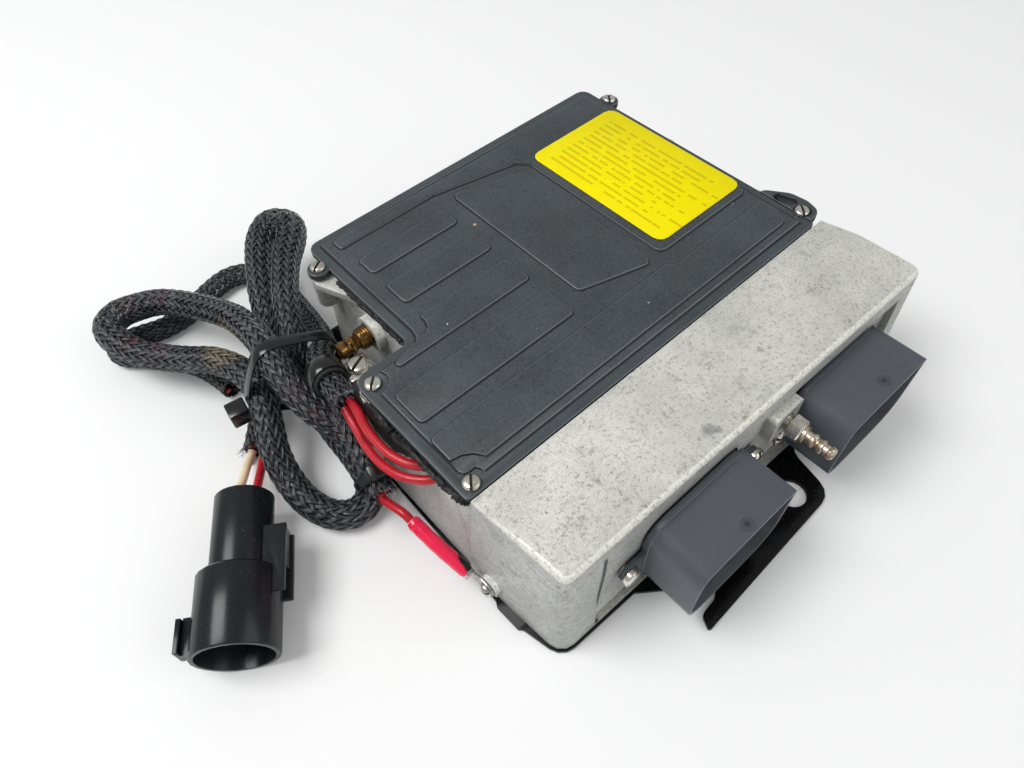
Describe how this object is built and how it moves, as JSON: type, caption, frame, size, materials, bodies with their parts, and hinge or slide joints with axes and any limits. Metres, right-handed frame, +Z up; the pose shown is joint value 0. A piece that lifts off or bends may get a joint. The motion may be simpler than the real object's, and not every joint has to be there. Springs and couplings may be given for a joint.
{
  "type": "engine control unit",
  "caption": "Cast aluminium engine control unit with a moulded lid, deep header sockets, a hose barb, a bracket plate and a braided harness with a two-pin plug.",
  "frame": {"origin": "on the underside of the bracket plate, below the middle of the cover's width and 60 mm behind its front edge", "axes": "+Z up out of the cover, -Y towards the sockets, -X towards the harness"},
  "size_m": [0.401, 0.3756, 0.0842],
  "materials": {
    "cast": "sand cast",
    "cover": "satin, grained",
    "socket": "satin",
    "plug": "gloss",
    "plate": "gloss",
    "seal": "matt",
    "nickel": "worn nickel plate",
    "brass": "tarnished",
    "label": "satin",
    "board": "satin",
    "key": "satin",
    "chip": "matt",
    "braid": "open monofilament braid",
    "red": "satin",
    "cream": "satin, stained",
    "shrink": "gloss"
  },
  "bodies": {
    "root": {"base_plate": "plate", "base_screw_1": "nickel", "base_screw_2": "nickel", "base_screw_3": "nickel", "base_screw_4": "nickel", "board_screw_1": "nickel", "board_screw_2": "nickel", "board_screw_3": "nickel", "board_screw_4": "nickel", "branch_sleeve": "braid", "brass_fitting": "brass", "bundle_tie": "plug", "capacitor_1": "chip", "capacitor_2": "chip", "circuit_board": "board", "clip_band": "nickel", "clip_cushion": "seal", "clip_screw": "nickel", "cover": "cover", "cover_gasket": "seal", "cover_screw_1": "nickel", "cover_screw_2": "nickel", "cover_screw_3": "nickel", "cover_screw_4": "nickel", "cover_screw_5": "nickel", "cream_wire": "cream", "ground_screw": "nickel", "ground_wire": "red", "harness_sleeve": "braid", "header_gasket_left": "seal", "header_gasket_right": "seal", "header_key": "key", "header_left": "socket", "header_right": "socket", "header_screw_1": "nickel", "header_screw_2": "nickel", "header_screw_3": "nickel", "header_screw_4": "nickel", "heat_shrink": "shrink", "hose_barb": "nickel", "housing": "cast", "inlet_seal": "seal", "label_panel": "label", "plug_carrier": "seal", "plug_latch": "plug", "plug_seal": "seal", "plug_shell": "plug", "plug_wire_cream": "cream", "plug_wire_red": "red", "power_coil": "brass", "processor": "chip", "red_wire_1": "red", "red_wire_2": "red", "ring_terminal": "nickel", "small_tie": "plug", "terminals_left": "chip", "terminals_right": "chip"}
  },
  "joints": []
}
